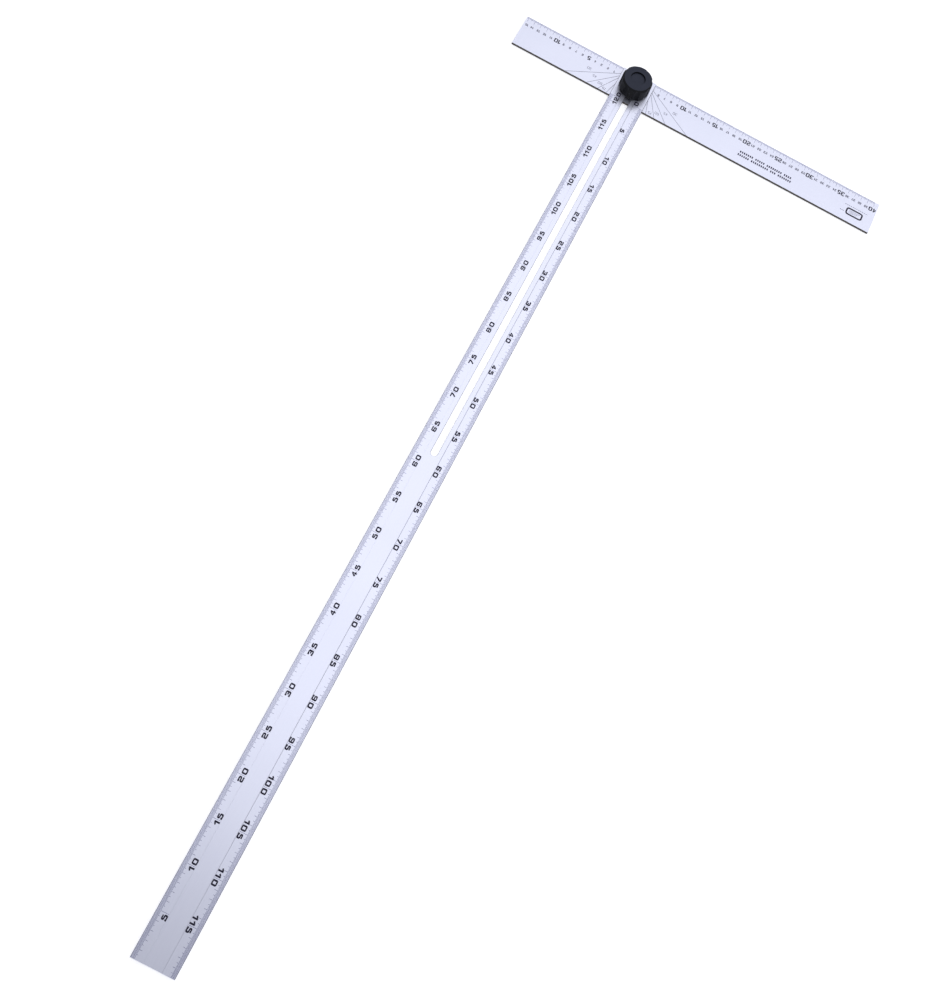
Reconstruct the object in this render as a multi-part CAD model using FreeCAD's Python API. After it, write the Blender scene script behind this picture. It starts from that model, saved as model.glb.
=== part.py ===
"""Adjustable T-square: a slotted rule clamped on top of a cross bar by one fluted hand knob.

Frame, in millimetres: the origin is on the bar's working face, on the blade's centreline, half way up
the bar. +X runs along the bar towards its long arm, +Y along the blade towards its clamped end, +Z up.
"""

import FreeCAD
import Part
import math
import os

V = FreeCAD.Vector
UP = V(0, 0, 1)
OVERCUT = 1.0  # how far a cutting shape runs past what it cuts
TOUCH = 1e-6  # two levels closer than this are the same

# Bar (the head): a plain anodised flat whose front face bears against the sheet's edge
BAR_LENGTH = 560.0
BAR_WIDTH = 52.0
BAR_THICKNESS = 3.2
BAR_SHORT_ARM = 178.4  # from the blade's centreline to the bar's near end
EDGE_BREAK = 0.35  # small chamfer on the long edges of bar and blade

# Blade: a slotted rule with a shallow channel along its top face
BLADE_WIDTH = 50.8
BLADE_THICKNESS = 3.2
BLADE_SCALE_LENGTH = 1200.0  # from the free end to the bar's working face
BLADE_TAIL = 50.0  # what lies over the bar
CHANNEL_WIDTH = 22.1
CHANNEL_DEPTH = 0.3
CHANNEL_SLOPE = 0.7  # plan width of each sloping channel wall
SLOT_WIDTH = 9.0
SLOT_FAR_END = 585.0  # from the working face to the slot's closed end
SLOT_BREAK = 0.25  # small chamfer round the slot's upper rim

# Clamp stack on the pivot axis
PIVOT_Y = BAR_WIDTH / 2
THREAD_RADIUS = 2.95  # M6 stud, nominal 3 less clearance
THREAD_PITCH = 1.0
THREAD_DEPTH = 0.45
THREAD_START = 0.5  # above the blade
STUD_COLLAR_RADIUS = 3.5
STUD_COLLAR_DROP = 0.1  # the collar ends just below the bar's top face
STUD_FLANGE_RADIUS = 5.5
STUD_FLANGE_HEIGHT = 1.2
STUD_FLUSH_GAP = 0.05  # the stud's foot stays just inside the bar's underside
STUD_TIP_CHAMFER = 0.6
STUD_TIP_GAP = 0.5  # below the cap's spigot
FIT = 0.09  # radial clearance of the pieces that turn or slide
WASHER_HOLE_RADIUS = 3.2

PRINT_GAP = 0.02  # over a printed face: the marks' height, 0.012, and a running clearance
SLIP_GAP = 0.01  # running clearance between the two washers, which turn on each other
BUSH_RADIUS = SLOT_WIDTH / 2 - FIT
BUSH_END_GAP = 0.08
PRESSURE_WASHER_RADIUS = 17.0
PRESSURE_WASHER_THICKNESS = 1.0
STEEL_WASHER_RADIUS = 9.0
STEEL_WASHER_THICKNESS = 1.6

# Knob
KNOB_RADIUS = 22.0
KNOB_TOP_RADIUS = 21.5  # draft of the moulded side
KNOB_FACE_RADIUS = 19.2
KNOB_HEIGHT = 17.7
KNOB_LIFT = 0.4  # the knob's foot stays clear of the pressure washer
KNOB_FACE_FILLET = 0.6
KNOB_CROWN_HEIGHT = 2.0
KNOB_FOOT_CHAMFER = 0.8
FLUTES = 8
FLUTE_RADIUS = 8.0
FLUTE_DEPTH = 1.6
LOBE_FILLET = 1.4
KNOB_WALL = 2.6
HUB_RADIUS = 10.5
RIB_THICKNESS = 1.8
RIB_RISE = 1.0  # the ribs stop short of the knob's foot
CAVITY_DEPTH = 11.5
FLUTE_PHASE = -65.0  # degrees; where the first flute stands when the clamp is tight

INSERT_RADIUS = 5.5
INSERT_FLANGE_RADIUS = 8.2
INSERT_FLANGE_HEIGHT = 1.2
INSERT_LENGTH = 8.5
INSERT_GROOVE = 0.5
CAP_RADIUS = 10.6
CAP_RECESS = 2.3  # how far the cap lies below the knob's face
CAP_THICKNESS = 1.6
CAP_SPIGOT_RADIUS = 7.0
SEAT_GAP = 0.05  # between the cap and its seat
CAP_SPIGOT_WALL = 1.4
CAP_SPIGOT_LENGTH = 3.0

# Levels, from the bar's underside to the knob's face
BAR_BOTTOM = -BAR_THICKNESS / 2
BAR_TOP = BAR_THICKNESS / 2
BLADE_BOTTOM = BAR_TOP + PRINT_GAP
BLADE_TOP = BLADE_BOTTOM + BLADE_THICKNESS
WASHER_BOTTOM = BLADE_TOP + PRINT_GAP
WASHER_TOP = WASHER_BOTTOM + PRESSURE_WASHER_THICKNESS
STEEL_BOTTOM = WASHER_TOP + SLIP_GAP
INSERT_BOTTOM = STEEL_BOTTOM + STEEL_WASHER_THICKNESS
KNOB_BOTTOM = STEEL_BOTTOM + KNOB_LIFT
KNOB_TOP = KNOB_BOTTOM + KNOB_HEIGHT
INSERT_TOP = INSERT_BOTTOM + INSERT_LENGTH
CAP_TOP = KNOB_TOP - CAP_RECESS
CAP_BOTTOM = CAP_TOP - CAP_THICKNESS
STUD_TIP = CAP_BOTTOM - CAP_SPIGOT_LENGTH - STUD_TIP_GAP


def pivot(z):
    """The point of the clamp's axis at height z."""
    return V(0, PIVOT_Y, z)


def cylinder(radius, bottom, top):
    return Part.makeCylinder(radius, top - bottom, pivot(bottom), UP)


def ring(outer, inner, bottom, top):
    return cylinder(outer, bottom, top).cut(cylinder(inner, bottom - OVERCUT, top + OVERCUT))


def turned(outline):
    """A solid of revolution about the clamp's axis from (radius, height) corners."""
    corners = [V(r, PIVOT_Y, z) for r, z in outline]
    face = Part.Face(Part.makePolygon(corners + corners[:1]))
    return face.revolve(pivot(0), UP, 360)


def stadium(width, y_low, y_high, bottom, height):
    """A vertical-walled slot shape along Y, its round ends centred at y_low and y_high."""
    r = width / 2
    arcs = [
        Part.Arc(V(-r, y_low, bottom), V(0, y_low - r, bottom), V(r, y_low, bottom)).toShape(),
        Part.makeLine(V(r, y_low, bottom), V(r, y_high, bottom)),
        Part.Arc(V(r, y_high, bottom), V(0, y_high + r, bottom), V(-r, y_high, bottom)).toShape(),
        Part.makeLine(V(-r, y_high, bottom), V(-r, y_low, bottom)),
    ]
    return Part.Face(Part.Wire(arcs)).extrude(V(0, 0, height))


def long_edges(solid, axis):
    """The straight outer edges of a flat bar that run along its length."""
    box = solid.BoundBox
    across = (lambda p: (p.x, p.z)) if axis == "y" else (lambda p: (p.y, p.z))
    sides = (box.XMin, box.XMax) if axis == "y" else (box.YMin, box.YMax)
    found = []
    for edge in solid.Edges:
        ends = [across(v.Point) for v in edge.Vertexes]
        on_side = all(min(abs(s - side) for side in sides) < TOUCH for s, _ in ends)
        on_face = all(min(abs(z - box.ZMin), abs(z - box.ZMax)) < TOUCH for _, z in ends)
        if len(ends) == 2 and ends[0] == ends[1] and on_side and on_face:
            found.append(edge)
    return found


def slot_rims(blade, low_end):
    """The slot's upper rim on the channel floor."""
    floor = BLADE_TOP - CHANNEL_DEPTH
    found = []
    for edge in blade.Edges:
        box = edge.BoundBox
        level = abs(box.ZMin - floor) < TOUCH and abs(box.ZMax - floor) < TOUCH
        narrow = max(abs(box.XMin), abs(box.XMax)) < SLOT_WIDTH / 2 + SLOT_BREAK
        if level and narrow and box.YMin > low_end - SLOT_WIDTH:
            found.append(edge)
    return found


def make_head_bar():
    bar = Part.makeBox(
        BAR_LENGTH, BAR_WIDTH, BAR_THICKNESS, V(-BAR_SHORT_ARM, 0, BAR_BOTTOM)
    )
    bar = bar.makeChamfer(EDGE_BREAK, long_edges(bar, "x"))
    below = BAR_BOTTOM - OVERCUT
    bar = bar.cut(cylinder(STUD_COLLAR_RADIUS, below, BAR_TOP + OVERCUT))
    return bar.cut(cylinder(STUD_FLANGE_RADIUS, below, BAR_BOTTOM + STUD_FLANGE_HEIGHT))


def make_blade():
    length = BLADE_SCALE_LENGTH + BLADE_TAIL
    corner = V(-BLADE_WIDTH / 2, -BLADE_SCALE_LENGTH, BLADE_BOTTOM)
    blade = Part.makeBox(BLADE_WIDTH, length, BLADE_THICKNESS, corner)
    blade = blade.makeChamfer(EDGE_BREAK, long_edges(blade, "y"))
    outside = CHANNEL_WIDTH / 2
    inside = outside - CHANNEL_SLOPE
    spread = OVERCUT * CHANNEL_SLOPE / CHANNEL_DEPTH
    floor, over = BLADE_TOP - CHANNEL_DEPTH, BLADE_TOP + OVERCUT
    start = corner.y - OVERCUT
    profile = [
        V(-inside, start, floor),
        V(inside, start, floor),
        V(outside + spread, start, over),
        V(-outside - spread, start, over),
    ]
    run = V(0, length + 2 * OVERCUT, 0)
    channel = Part.Face(Part.makePolygon(profile + profile[:1])).extrude(run)
    low_end = SLOT_WIDTH / 2 - SLOT_FAR_END
    through = BLADE_THICKNESS + 2 * OVERCUT
    slot = stadium(SLOT_WIDTH, low_end, PIVOT_Y, BLADE_BOTTOM - OVERCUT, through)
    blade = blade.cut(channel).cut(slot)
    return blade.makeChamfer(SLOT_BREAK, slot_rims(blade, low_end))


def make_clamp_stud():
    """Flush-headed clinch stud: flange, smooth collar in the bar, then ring-grooved thread."""
    foot = BAR_BOTTOM + STUD_FLUSH_GAP
    shoulder = BAR_BOTTOM + STUD_FLANGE_HEIGHT
    outline = [
        (0, foot),
        (STUD_FLANGE_RADIUS - EDGE_BREAK, foot),
        (STUD_FLANGE_RADIUS, foot + EDGE_BREAK),
        (STUD_FLANGE_RADIUS, shoulder),
        (STUD_COLLAR_RADIUS, shoulder),
        (STUD_COLLAR_RADIUS, BAR_TOP - STUD_COLLAR_DROP),
        (THREAD_RADIUS, BAR_TOP - STUD_COLLAR_DROP),
    ]
    groove = BLADE_TOP + THREAD_START
    while groove + THREAD_PITCH < STUD_TIP - STUD_TIP_CHAMFER:
        outline += [
            (THREAD_RADIUS, groove),
            (THREAD_RADIUS - THREAD_DEPTH, groove + 0.45 * THREAD_PITCH),
            (THREAD_RADIUS, groove + 0.9 * THREAD_PITCH),
        ]
        groove += THREAD_PITCH
    outline += [
        (THREAD_RADIUS, STUD_TIP - STUD_TIP_CHAMFER),
        (THREAD_RADIUS - STUD_TIP_CHAMFER, STUD_TIP),
        (0, STUD_TIP),
    ]
    return turned(outline)


def make_slot_bush():
    return ring(
        BUSH_RADIUS, THREAD_RADIUS + FIT, BAR_TOP + BUSH_END_GAP, BLADE_TOP - BUSH_END_GAP
    )


def make_pressure_washer():
    washer = ring(PRESSURE_WASHER_RADIUS, WASHER_HOLE_RADIUS, WASHER_BOTTOM, WASHER_TOP)
    rim = [e for e in washer.Edges if abs(e.BoundBox.XLength / 2 - PRESSURE_WASHER_RADIUS) < 0.1]
    return washer.makeFillet(EDGE_BREAK, [e for e in rim if e.BoundBox.ZLength < TOUCH])


def make_steel_washer():
    washer = ring(STEEL_WASHER_RADIUS, WASHER_HOLE_RADIUS, STEEL_BOTTOM, INSERT_BOTTOM)
    rim = [
        e
        for e in washer.Edges
        if abs(e.BoundBox.XLength / 2 - STEEL_WASHER_RADIUS) < 0.1
        and abs(e.BoundBox.ZMax - INSERT_BOTTOM) < TOUCH
        and e.BoundBox.ZLength < TOUCH
    ]
    return washer.makeFillet(EDGE_BREAK, rim)


def flute_positions():
    for k in range(FLUTES):
        angle = math.radians(FLUTE_PHASE + 360 / FLUTES * k)
        yield math.cos(angle), math.sin(angle)


def make_knob_body():
    """Fluted outside, ribbed hollow underneath, hub for the insert, round seat for the cap."""
    blank = cylinder(KNOB_RADIUS, KNOB_BOTTOM, KNOB_TOP)
    reach = KNOB_RADIUS + FLUTE_RADIUS - FLUTE_DEPTH
    for x, y in flute_positions():
        flute = Part.makeCylinder(
            FLUTE_RADIUS,
            KNOB_HEIGHT + 2 * OVERCUT,
            pivot(KNOB_BOTTOM - OVERCUT) + V(reach * x, reach * y, 0),
            UP,
        )
        blank = blank.cut(flute)
    boxes = [(e, e.BoundBox) for e in blank.Edges]
    corners = [e for e, box in boxes if max(box.XLength, box.YLength) < TOUCH]
    blank = blank.makeFillet(LOBE_FILLET, [e for e in corners if is_lobe_corner(e)])
    crown = KNOB_TOP - KNOB_CROWN_HEIGHT
    envelope = turned(
        [
            (0, KNOB_BOTTOM),
            (KNOB_RADIUS - KNOB_FOOT_CHAMFER, KNOB_BOTTOM),
            (KNOB_RADIUS, KNOB_BOTTOM + KNOB_FOOT_CHAMFER),
            (KNOB_TOP_RADIUS, crown),
            (KNOB_FACE_RADIUS, KNOB_TOP),
            (0, KNOB_TOP),
        ]
    )
    face_rim = [
        e
        for e in envelope.Edges
        if abs(e.BoundBox.ZMin - KNOB_TOP) < TOUCH and e.BoundBox.XLength > KNOB_FACE_RADIUS
    ]
    crown_rim = [
        e
        for e in envelope.Edges
        if abs(e.BoundBox.ZMin - crown) < TOUCH and abs(e.BoundBox.ZMax - crown) < TOUCH
    ]
    envelope = envelope.makeFillet(KNOB_FACE_FILLET, face_rim + crown_rim)
    body = blank.common(envelope)
    over, under = KNOB_TOP + OVERCUT, KNOB_BOTTOM - OVERCUT
    body = body.cut(cylinder(CAP_RADIUS + SEAT_GAP, CAP_BOTTOM, over))
    body = body.cut(cylinder(CAP_SPIGOT_RADIUS + SEAT_GAP, INSERT_TOP, over))
    body = body.cut(cylinder(INSERT_RADIUS, under, INSERT_TOP + OVERCUT))
    flange_top = INSERT_BOTTOM + INSERT_FLANGE_HEIGHT
    body = body.cut(cylinder(INSERT_FLANGE_RADIUS, INSERT_BOTTOM, flange_top))
    body = body.cut(cylinder(STEEL_WASHER_RADIUS + FIT, under, INSERT_BOTTOM))
    inner_wall = KNOB_RADIUS - FLUTE_DEPTH - KNOB_WALL
    cavity = ring(inner_wall, HUB_RADIUS, under, KNOB_BOTTOM + CAVITY_DEPTH)
    for x, y in flute_positions():
        rib = Part.makeBox(
            inner_wall + OVERCUT,
            RIB_THICKNESS,
            CAVITY_DEPTH,
            V(0, -RIB_THICKNESS / 2, KNOB_BOTTOM + RIB_RISE),
        )
        rib.rotate(V(0, 0, 0), UP, math.degrees(math.atan2(y, x)))
        rib.translate(V(0, PIVOT_Y, 0))
        cavity = cavity.cut(rib)
    return body.cut(cavity)


def is_lobe_corner(edge):
    """True where a flute meets the round outside, and not on a cylinder's own seam."""
    p = edge.Vertexes[0].Point
    near = 1000 * TOUCH
    if abs(math.hypot(p.x, p.y - PIVOT_Y) - KNOB_RADIUS) > near:
        return False
    reach = KNOB_RADIUS + FLUTE_RADIUS - FLUTE_DEPTH
    return any(
        abs(math.hypot(p.x - reach * x, p.y - PIVOT_Y - reach * y) - FLUTE_RADIUS) < near
        for x, y in flute_positions()
    )


def make_knob_insert():
    """Flanged brass insert, with two grooves that lock it in the moulding."""
    flange_top = INSERT_BOTTOM + INSERT_FLANGE_HEIGHT
    bore = THREAD_RADIUS + FIT
    outline = [
        (bore, INSERT_BOTTOM),
        (INSERT_FLANGE_RADIUS, INSERT_BOTTOM),
        (INSERT_FLANGE_RADIUS, flange_top),
        (INSERT_RADIUS, flange_top),
    ]
    pitch = (INSERT_TOP - flange_top) / 5
    for first in (1, 3):
        low, high = flange_top + first * pitch, flange_top + (first + 1) * pitch
        outline += [
            (INSERT_RADIUS, low),
            (INSERT_RADIUS - INSERT_GROOVE, low),
            (INSERT_RADIUS - INSERT_GROOVE, high),
            (INSERT_RADIUS, high),
        ]
    outline += [(INSERT_RADIUS, INSERT_TOP), (bore, INSERT_TOP)]
    return turned(outline)


def make_knob_cap():
    """Round cap that closes the hub, with a hollow spigot pressed into it."""
    inside = CAP_SPIGOT_RADIUS - CAP_SPIGOT_WALL
    outline = [
        (0, CAP_BOTTOM),
        (inside, CAP_BOTTOM),
        (inside, CAP_BOTTOM - CAP_SPIGOT_LENGTH),
        (CAP_SPIGOT_RADIUS, CAP_BOTTOM - CAP_SPIGOT_LENGTH),
        (CAP_SPIGOT_RADIUS, CAP_BOTTOM),
        (CAP_RADIUS, CAP_BOTTOM),
        (CAP_RADIUS, CAP_TOP - EDGE_BREAK),
        (CAP_RADIUS - EDGE_BREAK, CAP_TOP),
        (0, CAP_TOP),
    ]
    return turned(outline)


MAKERS = {
    "blade": make_blade,
    "head_bar": make_head_bar,
    "clamp_stud": make_clamp_stud,
    "slot_bush": make_slot_bush,
    "pressure_washer": make_pressure_washer,
    "steel_washer": make_steel_washer,
    "knob_body": make_knob_body,
    "knob_insert": make_knob_insert,
    "knob_cap": make_knob_cap,
}


def main():
    os.makedirs("parts", exist_ok=True)
    for name, make in MAKERS.items():
        shape = make()
        solids = len(shape.Solids)
        print(f"{name}: {solids} solid, {shape.Volume:.1f} mm3, valid {shape.isValid()}")
        shape.exportStep(f"parts/{name}.step")


main()
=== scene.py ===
"""Looks of the adjustable T-square: printed scales, anodised plates, moulded knob, studio, camera."""

import math

import bmesh
import bpy
from mathutils import Matrix, Vector


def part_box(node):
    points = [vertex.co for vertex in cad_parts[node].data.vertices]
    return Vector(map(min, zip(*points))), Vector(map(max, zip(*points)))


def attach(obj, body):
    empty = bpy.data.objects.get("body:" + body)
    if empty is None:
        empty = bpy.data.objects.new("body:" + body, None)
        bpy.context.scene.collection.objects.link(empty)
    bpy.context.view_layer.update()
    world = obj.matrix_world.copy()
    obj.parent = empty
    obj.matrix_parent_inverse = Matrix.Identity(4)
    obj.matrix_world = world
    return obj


MM = 0.001

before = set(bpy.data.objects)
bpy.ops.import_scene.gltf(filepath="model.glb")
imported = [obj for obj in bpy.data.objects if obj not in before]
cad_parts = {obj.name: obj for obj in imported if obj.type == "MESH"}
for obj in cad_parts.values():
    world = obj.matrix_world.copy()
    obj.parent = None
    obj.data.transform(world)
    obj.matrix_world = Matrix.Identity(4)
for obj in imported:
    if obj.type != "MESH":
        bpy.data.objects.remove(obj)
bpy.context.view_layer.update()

# ---- Places read from the CAD nodes, in millimetres --------------------------------------------

blade_low, blade_high = (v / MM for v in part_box("blade"))
bar_low, bar_high = (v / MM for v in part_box("head_bar"))
HALF_BLADE = blade_high.x
BLADE_TOP = blade_high.z
BLADE_FOOT = blade_low.y
BAR_TOP = bar_high.z
BAR_OUTER = bar_high.y
PIVOT_Y = (bar_low.y + bar_high.y) / 2

# Printing
INK_RISE = 0.012  # the marks stand this far above the plate
INK_SINK = 0.02  # and reach this far into it
EDGE_BLANK = 0.37  # no print on the plates' broken edges
TICK_LINE = 0.32
MM_TICK = 5.1
FIVE_TICK = 6.6
CM_TICK = 8.2
FIVE_CM_TICK = 14.0
DIGIT_WIDTH = 6.1
DIGIT_HEIGHT = 6.1
DIGIT_STROKE = 1.9
DIGIT_TOP = 8.4  # from the blade's edge
TICK_GAP = 1.3  # between a long tick and the figures on its two sides
DIGIT_GAP = 1.5
FLATTEN = 0.80  # level strokes are this much thinner than upright ones
SPANS = {"0": 1.07, "1": 0.70, "5": 0.97, "7": 0.90}  # widths against an ordinary figure
THINNER = {"4": 0.80, "6": 0.95, "8": 0.90, "9": 0.95}  # strokes of the figures with eyes
HEAD_MM_TICK = 3.3
HEAD_FIVE_TICK = 5.0
HEAD_CM_TICK = 8.0
HEAD_SCALE_END = 400  # millimetres of scale on the long arm
HEAD_FIGURE_SHIFT = 0.3  # figures stand a little off their tick
HEAD_LAST_SHIFT = 2.0  # more for the last one, so that it stays on the bar
HEAD_END_ROOM = 6.0  # a figure nearer the bar's end than this is crowded
BIG_FIGURE = (5.1, 6.6, 1.6, 0.7)  # width, height, stroke, gap
BIG_FIGURE_DROP = 13.7  # from the bar's outer edge
SMALL_FIGURE = (2.5, 3.6, 0.85, 0.5)
SMALL_FIGURE_DROP = 13.9
ANGLE_FIGURE = (2.7, 3.9, 0.5, 0.7)
ANGLE_LINE = 0.5

# Plain blocks and frame, where the real bar has words and a mark
BLOCK_HALF_HEIGHT = 1.65
BLOCK_WIDTH = 1.9
BLOCK_PITCH = 3.05
WORD_SPACE = 2.8
BLOCK_ROWS = ((19.9, 173.0, (7, 5, 8, 4)), (14.2, 171.5, (6, 9, 3, 7)))  # y, start, word lengths
FRAME_X = (341.9, 365.3)
FRAME_Y = (12.4, 22.2)
FRAME_RADIUS = 3.0
FRAME_LINE = 2.3


# ---- Printed shapes: every mark is a closed, very thin prism ------------------------------------


class Print:
    """Collects prisms standing on a plate's top face, then makes one mesh of them."""

    def __init__(self, name, plate_top, body, material):
        self.name = name
        self.low = plate_top - INK_SINK
        self.high = plate_top + INK_RISE
        self.body = body
        self.material = material
        self.vertices = []
        self.faces = []

    def strip(self, left, right, closed=False):
        """A band between two matching rails of (x, y) points."""
        base = len(self.vertices)
        count = len(left)
        for (lx, ly), (rx, ry) in zip(left, right):
            self.vertices += [
                (lx, ly, self.low),
                (rx, ry, self.low),
                (rx, ry, self.high),
                (lx, ly, self.high),
            ]
        spans = count if closed else count - 1
        for k in range(spans):
            a = base + 4 * k
            b = base + 4 * ((k + 1) % count)
            for m in range(4):
                n = (m + 1) % 4
                self.faces.append((a + m, b + m, b + n, a + n))
        if not closed:
            last = base + 4 * (count - 1)
            self.faces.append((base, base + 1, base + 2, base + 3))
            self.faces.append((last + 3, last + 2, last + 1, last))

    def line(self, start, end, width):
        sx, sy = start
        ex, ey = end
        length = math.hypot(ex - sx, ey - sy)
        nx, ny = -(ey - sy) / length * width / 2, (ex - sx) / length * width / 2
        self.strip(
            [(sx + nx, sy + ny), (ex + nx, ey + ny)],
            [(sx - nx, sy - ny), (ex - nx, ey - ny)],
        )

    def path(self, points, width, closed=False, place=None):
        """A mitred band of constant width along a line of points; place moves it to the plate."""
        left, right = [], []
        count = len(points)
        for k, (x, y) in enumerate(points):
            before = points[k - 1] if (k or closed) else None
            after = points[(k + 1) % count] if (k < count - 1 or closed) else None
            normals = []
            for (ax, ay), (bx, by) in (((before or (x, y)), (x, y)), ((x, y), (after or (x, y)))):
                length = math.hypot(bx - ax, by - ay)
                if length > 1e-9:
                    normals.append((-(by - ay) / length, (bx - ax) / length))
            mx = sum(n[0] for n in normals) / len(normals)
            my = sum(n[1] for n in normals) / len(normals)
            scale = width / 2 / (mx * mx + my * my)
            left.append((x + mx * scale, y + my * scale))
            right.append((x - mx * scale, y - my * scale))
        if place:
            left = [place(x, y) for x, y in left]
            right = [place(x, y) for x, y in right]
        self.strip(left, right, closed)

    def build(self):
        mesh = bpy.data.meshes.new(self.name)
        mesh.from_pydata(
            [(x * MM, y * MM, z * MM) for x, y, z in self.vertices], [], self.faces
        )
        mesh.update()
        piece = bpy.data.objects.new(self.name, mesh)
        bpy.context.scene.collection.objects.link(piece)
        mesh.materials.append(self.material)
        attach(piece, self.body)
        outward(piece)
        return piece


def outward(piece):
    """Turns every face's normal to the outside of its prism."""
    work = bmesh.new()
    work.from_mesh(piece.data)
    bmesh.ops.recalc_face_normals(work, faces=work.faces[:])
    work.to_mesh(piece.data)
    work.free()


def rounded(points, radius, closed=False, steps=3, least=0.0):
    """The same line with each corner replaced by an arc, where there is room for the least radius."""
    result = []
    count = len(points)
    for k, (x, y) in enumerate(points):
        if not closed and k in (0, count - 1):
            result.append((x, y))
            continue
        px, py = points[k - 1]
        nx, ny = points[(k + 1) % count]
        back = math.hypot(px - x, py - y)
        ahead = math.hypot(nx - x, ny - y)
        r = min(radius, back * 0.49, ahead * 0.49)
        if r < least:
            result.append((x, y))
            continue
        ax, ay = x + (px - x) / back * r, y + (py - y) / back * r
        bx, by = x + (nx - x) / ahead * r, y + (ny - y) / ahead * r
        for s in range(steps + 1):
            t = s / steps
            result.append(
                (
                    (1 - t) ** 2 * ax + 2 * t * (1 - t) * x + t * t * bx,
                    (1 - t) ** 2 * ay + 2 * t * (1 - t) * y + t * t * by,
                )
            )
    return result


def digit_strokes(digit, w, h, s):
    """Strokes of a wide, square-shouldered figure centred on the origin: (points, closed)."""
    l, r, t, b = -w / 2 + s / 2, w / 2 - s / 2, h / 2 - s / 2, -h / 2 + s / 2
    inner = s / 2
    waist = s * 0.25
    hook = s * 0.8
    box = [(l, b), (r, b), (r, t), (l, t)]
    stem = w * 0.18
    bar = -h * 0.19
    return {
        "0": [(box, True)],
        "1": [
            ([(r, -h / 2), (r, h / 2)], False),
            ([(r - inner, h / 2 - s * 0.55), (-w / 2 + s * 0.15, h / 2 - s * 1.55)], False),
        ],
        "2": [([(l, t - hook), (l, t), (r, t), (r, 0), (l, 0), (l, b), (w / 2, b)], False)],
        "3": [
            ([(l, t - hook), (l, t), (r, t), (r, b), (l, b), (l, b + hook)], False),
            ([(-w * 0.18, 0), (r - inner, 0)], False),
        ],
        "4": [
            ([(stem, -h / 2), (stem, h / 2)], False),
            ([(stem - inner, t - s * 0.2), (l, bar), (stem - inner, bar)], False),
            ([(stem + inner, bar), (w / 2, bar)], False),
        ],
        "5": [
            ([(r, t), (l, t), (l, waist), (r, waist), (r, b), (l, b), (l, b + hook)], False),
        ],
        "6": [([(r, t - hook), (r, t), (l, t), (l, b), (r, b), (r, 0), (l + inner, 0)], False)],
        "7": [([(-w / 2, t), (r, t), (r, t - hook), (-s * 0.5, -h / 2)], False)],
        "8": [(box, True), ([(l + inner, 0), (r - inner, 0)], False)],
        "9": [([(l, b + hook), (l, b), (r, b), (r, t), (l, t), (l, 0), (r - inner, 0)], False)],
    }[digit]


def draw_digit(ink, digit, centre, reading, width, height, stroke):
    """One figure; reading is the unit vector of the reading direction."""
    rx, ry = reading
    cx, cy = centre

    def place(x, y):
        y *= FLATTEN
        return cx + rx * x - ry * y, cy + ry * x + rx * y

    span = width * SPANS.get(digit, 1.0)
    stroke *= THINNER.get(digit, 1.0)
    for points, closed in digit_strokes(digit, span, height / FLATTEN, stroke):
        curve = rounded(points, stroke * 0.52, closed, least=stroke / 2)
        ink.path(curve, stroke, closed, place)


def draw_number(ink, text, centre, reading, width, height, stroke, gap):
    """Figures set side by side about a centre."""
    spans = [width * SPANS.get(digit, 1.0) for digit in text]
    shift = -(sum(spans) + gap * (len(text) - 1)) / 2
    for digit, span in zip(text, spans):
        middle = shift + span / 2
        place = (centre[0] + reading[0] * middle, centre[1] + reading[1] * middle)
        draw_digit(ink, digit, place, reading, width, height, stroke)
        shift += span + gap


# ---- Materials ---------------------------------------------------------------------------------


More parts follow.
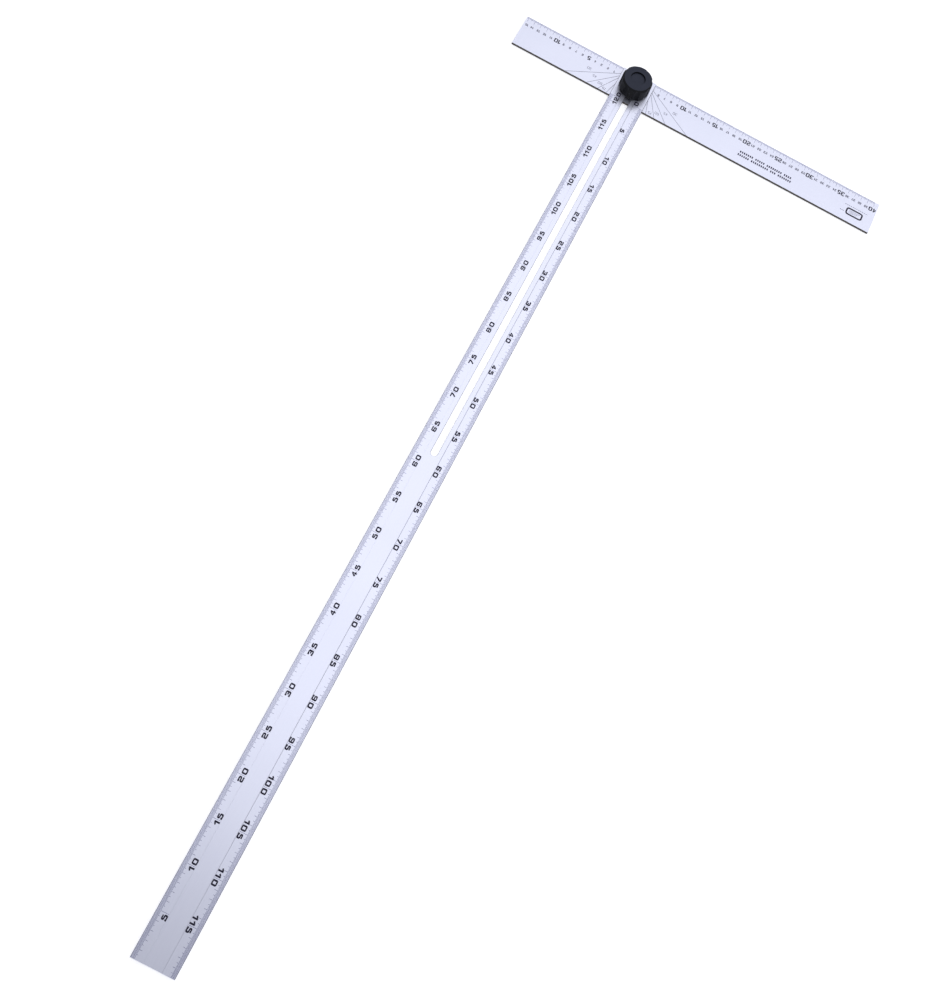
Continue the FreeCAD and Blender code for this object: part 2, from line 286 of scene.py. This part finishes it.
class Nodes:
    """Small helper that adds and links shader nodes."""

    def __init__(self, name):
        self.material = bpy.data.materials.new(name)
        self.material.use_nodes = True
        self.tree = self.material.node_tree
        self.tree.nodes.clear()
        self.shader = self.add("ShaderNodeBsdfPrincipled")
        out = self.add("ShaderNodeOutputMaterial")
        self.link(self.shader.outputs["BSDF"], out.inputs["Surface"])

    def add(self, kind, **settings):
        node = self.tree.nodes.new(kind)
        for key, value in settings.items():
            setattr(node, key, value)
        return node

    def link(self, source, target):
        self.tree.links.new(source, target)

    def noise(self, scale, stretch=(1, 1, 1), detail=3.0, rough=0.55):
        place = self.add("ShaderNodeTexCoord")
        mapping = self.add("ShaderNodeMapping")
        mapping.inputs["Scale"].default_value = stretch
        self.link(place.outputs["Object"], mapping.inputs["Vector"])
        noise = self.add("ShaderNodeTexNoise")
        noise.inputs["Scale"].default_value = scale
        noise.inputs["Detail"].default_value = detail
        noise.inputs["Roughness"].default_value = rough
        self.link(mapping.outputs["Vector"], noise.inputs["Vector"])
        return noise.outputs["Fac"]

    def ramp(self, factor, low, high, start=0.3, end=0.7):
        ramp = self.add("ShaderNodeValToRGB")
        ramp.color_ramp.elements[0].position = start
        ramp.color_ramp.elements[0].color = (*low, 1)
        ramp.color_ramp.elements[1].position = end
        ramp.color_ramp.elements[1].color = (*high, 1)
        self.link(factor, ramp.inputs["Fac"])
        return ramp.outputs["Color"]

    def span(self, factor, low, high):
        spread = self.add("ShaderNodeMapRange")
        spread.inputs["To Min"].default_value = low
        spread.inputs["To Max"].default_value = high
        self.link(factor, spread.inputs["Value"])
        return spread.outputs["Result"]

    def mix(self, factor, a, b):
        mix = self.add("ShaderNodeMix", data_type="RGBA")
        self.link(factor, mix.inputs[0])
        for source, socket in ((a, mix.inputs[6]), (b, mix.inputs[7])):
            if isinstance(source, tuple):
                socket.default_value = (*source, 1)
            else:
                self.link(source, socket)
        return mix.outputs[2]

    def bump(self, height, strength, distance):
        bump = self.add("ShaderNodeBump")
        bump.inputs["Strength"].default_value = strength
        bump.inputs["Distance"].default_value = distance
        self.link(height, bump.inputs["Height"])
        self.link(bump.outputs["Normal"], self.shader.inputs["Normal"])

    def sideways(self, start=0.75, end=0.90):
        """1 on upright walls, 0 on faces that look up or down."""
        place = self.add("ShaderNodeTexCoord")
        split = self.add("ShaderNodeSeparateXYZ")
        self.link(place.outputs["Normal"], split.inputs["Vector"])
        size = self.add("ShaderNodeMath", operation="ABSOLUTE")
        self.link(split.outputs["Z"], size.inputs[0])
        spread = self.add("ShaderNodeMapRange")
        spread.inputs["From Min"].default_value = start
        spread.inputs["From Max"].default_value = end
        spread.inputs["To Min"].default_value = 1.0
        spread.inputs["To Max"].default_value = 0.0
        self.link(size.outputs[0], spread.inputs["Value"])
        return spread.outputs["Result"]


def anodised(name, along, shaded_wall, steep):
    """Clear satin anodising over a lengthwise brushed grain; upright walls take a darker colour as
    painted shade.

    steep gives the upward lean of a face's normal at which the painted wall shade starts and ends.
    """
    m = Nodes(name)
    grain_scale = (3.0, 260.0, 260.0) if along == "x" else (260.0, 3.0, 260.0)
    grain = m.noise(8.0, grain_scale, detail=5.0, rough=0.7)
    cloud = m.noise(9.0, (1, 1, 1), detail=2.0)
    tone = m.ramp(cloud, (0.705, 0.724, 0.845), (0.750, 0.768, 0.885))
    streak = m.ramp(grain, (0.680, 0.698, 0.825), (0.770, 0.786, 0.905), 0.25, 0.75)
    face = m.add("ShaderNodeMix", data_type="RGBA")
    face.inputs[0].default_value = 0.45
    m.link(tone, face.inputs[6])
    m.link(streak, face.inputs[7])
    # Painted shade: upright walls get the dark wall colour instead of the plate's own tone.
    colour = m.mix(m.sideways(*steep), face.outputs[2], shaded_wall)
    m.link(colour, m.shader.inputs["Base Color"])
    m.shader.inputs["Metallic"].default_value = 0.80
    m.link(m.span(grain, 0.28, 0.42), m.shader.inputs["Roughness"])
    m.bump(grain, 0.10, 0.00004)
    return m.material


def printed(name, colour, fade):
    """Screen-printed ink with slightly uneven cover."""
    m = Nodes(name)
    cover = m.noise(900.0, detail=4.0)
    m.link(m.ramp(cover, colour, fade, 0.35, 0.8), m.shader.inputs["Base Color"])
    m.link(m.span(cover, 0.35, 0.55), m.shader.inputs["Roughness"])
    m.shader.inputs["Specular IOR Level"].default_value = 0.25
    m.bump(cover, 0.15, 0.00002)
    return m.material


def moulded(name, low, high, rough, spark):
    """Moulded plastic with a fine eroded texture and faint handling wear."""
    m = Nodes(name)
    grit = m.noise(2600.0, detail=2.0)
    cloud = m.noise(60.0, detail=4.0)
    m.link(m.ramp(cloud, low, high), m.shader.inputs["Base Color"])
    m.link(m.span(cloud, rough - 0.07, rough + 0.07), m.shader.inputs["Roughness"])
    m.shader.inputs["Specular IOR Level"].default_value = spark
    m.bump(grit, 0.35, 0.00006)
    return m.material


def knob_plastic(name):
    """Black moulding with a fine eroded texture; the top face is painted lighter and bluish as its
    lit side, the upright flanks and recess walls much darker as painted shade.
    """
    m = Nodes(name)
    grit = m.noise(2600.0, detail=2.0)
    cloud = m.noise(60.0, detail=4.0)
    # Painted light and shade: a lighter, bluish colour for the lit top face and a much darker one for
    # the upright flanks.
    face = m.ramp(cloud, (0.0250, 0.0290, 0.0450), (0.0300, 0.0340, 0.0520))
    shaded_flank = m.ramp(cloud, (0.0055, 0.0060, 0.0080), (0.0085, 0.0090, 0.0110))
    m.link(m.mix(m.sideways(0.80, 0.95), face, shaded_flank), m.shader.inputs["Base Color"])
    m.link(m.span(cloud, 0.42, 0.56), m.shader.inputs["Roughness"])
    m.shader.inputs["Specular IOR Level"].default_value = 0.12
    m.bump(grit, 0.35, 0.00006)
    return m.material


def turned_metal(name, low, high, rough):
    """Machined or plated metal with fine concentric tool marks."""
    m = Nodes(name)
    place = m.add("ShaderNodeTexCoord")
    shift = m.add("ShaderNodeMapping")
    shift.inputs["Location"].default_value = (0, -PIVOT_Y * MM, 0)
    m.link(place.outputs["Object"], shift.inputs["Vector"])
    rings = m.add("ShaderNodeTexWave", wave_type="RINGS", rings_direction="Z")
    rings.inputs["Scale"].default_value = 700.0
    rings.inputs["Distortion"].default_value = 1.5
    rings.inputs["Detail"].default_value = 2.0
    m.link(shift.outputs["Vector"], rings.inputs["Vector"])
    stain = m.noise(220.0, detail=4.0)
    m.link(m.ramp(stain, low, high), m.shader.inputs["Base Color"])
    m.shader.inputs["Metallic"].default_value = 1.0
    m.link(m.span(stain, rough - 0.08, rough + 0.1), m.shader.inputs["Roughness"])
    m.bump(rings.outputs["Fac"], 0.12, 0.00002)
    return m.material


def dress(node, material):
    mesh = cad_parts[node].data
    mesh.materials.clear()
    mesh.materials.append(material)


ZINC = ((0.55, 0.56, 0.58), (0.66, 0.67, 0.69))

ink = printed("ink_navy", (0.006, 0.004, 0.020), (0.012, 0.009, 0.036))
tick_ink = printed("ink_ticks", (0.022, 0.026, 0.160), (0.040, 0.045, 0.200))
soft_ink = printed("ink_grey", (0.020, 0.016, 0.050), (0.040, 0.034, 0.090))
faint_ink = printed("ink_faint", (0.085, 0.085, 0.150), (0.130, 0.130, 0.210))

# The last colour given to each plate is the dark painted shade of its upright walls.
dress("blade", anodised("blade_anodised", "y", (0.050, 0.046, 0.042), (0.72, 0.90)))
dress("head_bar", anodised("head_anodised", "x", (0.062, 0.056, 0.048), (0.75, 0.90)))
dress("knob_body", knob_plastic("knob_black"))
dress("knob_cap", knob_plastic("cap_black"))
dress("slot_bush", moulded("bush_natural", (0.66, 0.64, 0.56), (0.74, 0.72, 0.65), 0.42, 0.5))
black_nylon = moulded("washer_black", (0.012, 0.012, 0.013), (0.020, 0.020, 0.022), 0.38, 0.5)
dress("pressure_washer", black_nylon)
dress("steel_washer", turned_metal("washer_zinc", *ZINC, 0.30))
dress("clamp_stud", turned_metal("stud_zinc", *ZINC, 0.28))
dress("knob_insert", turned_metal("insert_brass", (0.62, 0.44, 0.17), (0.74, 0.55, 0.24), 0.26))


# ---- Blade graduations -------------------------------------------------------------------------


def tick_length(mark):
    if mark % 50 == 0:
        return FIVE_CM_TICK
    if mark % 10 == 0:
        return CM_TICK
    return FIVE_TICK if mark % 5 == 0 else MM_TICK


def split_offsets(text):
    """Where a number's figures stand along the reading direction, split round its long tick."""
    spans = [DIGIT_WIDTH * SPANS.get(digit, 1.0) for digit in text]
    if len(text) == 1:
        return [-TICK_GAP - spans[0] / 2]
    offsets = [-TICK_GAP - spans[-2] / 2, TICK_GAP + spans[-1] / 2]
    if len(text) == 3:
        offsets.insert(0, -TICK_GAP - spans[1] - DIGIT_GAP - spans[0] / 2)
    return offsets


def blade_scales():
    """Left scale counts up towards the head, right scale counts up away from it."""
    ticks = Print("blade_ticks", BLADE_TOP, "blade", tick_ink)
    figures = Print("blade_figures", BLADE_TOP, "blade", ink)
    full = round(-BLADE_FOOT)
    for side, reading in ((-1, 1), (1, -1)):
        edge = side * (HALF_BLADE - EDGE_BLANK)
        across = side * (HALF_BLADE - DIGIT_TOP - DIGIT_HEIGHT / 2)
        marks = range(1, full + 1) if side < 0 else range(full)
        for mark in marks:
            y = BLADE_FOOT + mark if side < 0 else -mark
            inner = side * (HALF_BLADE - tick_length(mark))
            ticks.line((edge, y), (inner, y), TICK_LINE)
            if mark % 50:
                continue
            text = str(mark // 10)
            for digit, offset in zip(text, split_offsets(text)):
                place = (across, y + reading * offset)
                draw_digit(
                    figures, digit, place, (0, reading), DIGIT_WIDTH, DIGIT_HEIGHT, DIGIT_STROKE
                )
    ticks.build()
    figures.build()


# ---- Head graduations --------------------------------------------------------------------------


def head_scales():
    """One centimetre scale each side of the blade, counted from the blade's left edge."""
    ticks = Print("head_ticks", BAR_TOP, "head", tick_ink)
    figures = Print("head_figures", BAR_TOP, "head", ink)
    small = Print("head_small_figures", BAR_TOP, "head", soft_ink)
    zero = -HALF_BLADE
    outer = BAR_OUTER - EDGE_BLANK
    runs = ((-1, int(zero - bar_low.x)), (1, HEAD_SCALE_END))
    for way, last in runs:
        first = 0 if way < 0 else round(2 * HALF_BLADE) + 1
        for mark in range(first, last + 1):
            x = zero + way * mark
            length = HEAD_MM_TICK
            if mark % 5 == 0:
                length = HEAD_FIVE_TICK
            if mark % 10 == 0:
                length = HEAD_CM_TICK
            ticks.line((x, outer), (x, BAR_OUTER - length), TICK_LINE)
            if mark == 0 or mark % 10:
                continue
            text = str(mark // 10)
            crowded = x - HEAD_END_ROOM < bar_low.x
            if mark % 50 == 0 and not crowded:
                place = (x + HEAD_FIGURE_SHIFT, BAR_OUTER - BIG_FIGURE_DROP)
                draw_number(figures, text, place, (-1, 0), *BIG_FIGURE)
            else:
                shift = HEAD_LAST_SHIFT if crowded else HEAD_FIGURE_SHIFT
                place = (x + shift, BAR_OUTER - SMALL_FIGURE_DROP)
                draw_number(small, text, place, (-1, 0), *SMALL_FIGURE)
    ticks.build()
    figures.build()
    small.build()


def angle_fans():
    """Lines along which the blade's edge lies when it is swung to each set angle."""
    lines = Print("head_angle_lines", BAR_TOP, "head", faint_ink)
    labels = Print("head_angle_figures", BAR_TOP, "head", faint_ink)
    # Each angle's figures stand at x, y; its line touches the edge at the last value from the pivot.
    places = {
        30: (67.5, 23.4, HALF_BLADE),
        45: (55.9, 15.9, HALF_BLADE),
        60: (44.7, 9.5, HALF_BLADE),
        75: (36.0, 4.8, HALF_BLADE - 1.9),
    }
    for angle, (lx, ly, reach) in places.items():
        s, c = math.sin(math.radians(angle)), math.cos(math.radians(angle))
        start_y = PIVOT_Y + (reach - HALF_BLADE * s) / c
        foot_x = (reach + (PIVOT_Y - EDGE_BLANK) * c) / s
        for side in (-1, 1):
            lines.line((side * HALF_BLADE, start_y), (side * foot_x, EDGE_BLANK), ANGLE_LINE)
            draw_number(labels, str(angle), (side * lx, ly), (-1, 0), *ANGLE_FIGURE)
    lines.build()
    labels.build()


def plain_marks():
    """Anonymous printed rows of blocks and an empty frame; they spell nothing."""
    marks = Print("head_plain_rows", BAR_TOP, "head", soft_ink)
    for y, start, words in BLOCK_ROWS:
        x = start
        for blocks in words:
            for _ in range(blocks):
                marks.line((x, y - BLOCK_HALF_HEIGHT), (x, y + BLOCK_HALF_HEIGHT), BLOCK_WIDTH)
                x += BLOCK_PITCH
            x += WORD_SPACE
    marks.build()
    badge = Print("head_plain_frame", BAR_TOP, "head", ink)
    (low_x, high_x), (low_y, high_y) = FRAME_X, FRAME_Y
    corners = [(low_x, low_y), (high_x, low_y), (high_x, high_y), (low_x, high_y)]
    badge.path(rounded(corners, FRAME_RADIUS, True, 6), FRAME_LINE, True)
    badge.build()
    faint = Print("head_faint_rows", BAR_TOP, "head", faint_ink)
    for k in range(3):
        y = high_y - FRAME_RADIUS - 1.9 * k
        faint.line((low_x + 3.4, y), (high_x - 3.4 - 2.5 * k, y), 0.5)
    for k in range(12):
        x = 336.5 + 2.9 * k
        faint.line((x, 26.4), (x + 2.0, 26.4), 0.7)
    for k in range(3):
        x = 332.5 + 2.3 * k
        faint.line((x, 14.4), (x + 1.5, 14.4), 0.9)
    faint.build()


blade_scales()
head_scales()
angle_fans()
plain_marks()


# ---- Studio ------------------------------------------------------------------------------------


FLOOR_SIZE = 40.0  # metres, like all of the studio
FLOOR_DROP = 0.0002  # below the bar's underside
SOFTBOX_SIZE = (4.4, 4.26)
SOFTBOX_X, SOFTBOX_Y, SOFTBOX_HEIGHT = 0.9, 0.67, 2.2
SOFTBOX_WATTS = 55.3
CAMERA_PLACE = (0.0514, -0.9060, 1.0137)
CAMERA_TURN = (("Z", -2.28), ("X", 16.23), ("Z", 30.05))  # heading, tilt, roll in degrees


def make_floor():
    m = Nodes("studio_white")
    cloud = m.noise(1.5)
    m.link(m.ramp(cloud, (0.93, 0.93, 0.935), (0.95, 0.95, 0.955)), m.shader.inputs["Base Color"])
    m.shader.inputs["Roughness"].default_value = 0.9
    m.shader.inputs["Specular IOR Level"].default_value = 0.1
    m.shader.inputs["Emission Color"].default_value = (1, 1, 1, 1)
    m.shader.inputs["Emission Strength"].default_value = 0.42
    place = (0, -0.5, bar_low.z * MM - FLOOR_DROP)
    bpy.ops.mesh.primitive_plane_add(size=FLOOR_SIZE, location=place)
    floor = bpy.context.object
    floor.name = "floor"
    floor.data.materials.append(m.material)


def area_light(name, size, place, target, power, colour):
    data = bpy.data.lights.new(name, "AREA")
    data.shape = "RECTANGLE"
    data.size, data.size_y = size
    data.energy = power
    data.color = colour
    light = bpy.data.objects.new(name, data)
    bpy.context.scene.collection.objects.link(light)
    light.location = place
    aim = Vector(target) - Vector(place)
    light.rotation_euler = aim.to_track_quat("-Z", "Y").to_euler()


def make_lights():
    world = bpy.data.worlds.new("studio")
    bpy.context.scene.world = world
    world.use_nodes = True
    sky = world.node_tree.nodes["Background"]
    sky.inputs["Color"].default_value = (0.93, 0.94, 1.0, 1)
    sky.inputs["Strength"].default_value = 0.45
    place = (SOFTBOX_X, SOFTBOX_Y, SOFTBOX_HEIGHT)
    target = (SOFTBOX_X, SOFTBOX_Y, 0)
    area_light("softbox", SOFTBOX_SIZE, place, target, SOFTBOX_WATTS, (0.97, 0.975, 1.0))


def make_camera():
    data = bpy.data.cameras.new("camera")
    data.sensor_width = 36.0
    data.lens = 31.81
    data.clip_start = 0.01
    camera = bpy.data.objects.new("camera", data)
    bpy.context.scene.collection.objects.link(camera)
    turn = Matrix.Identity(4)
    for axis, degrees in CAMERA_TURN:
        turn = turn @ Matrix.Rotation(math.radians(degrees), 4, axis)
    camera.matrix_world = Matrix.Translation(CAMERA_PLACE) @ turn
    bpy.context.scene.camera = camera


make_floor()
make_lights()
make_camera()
bpy.context.scene.view_settings.view_transform = "Standard"
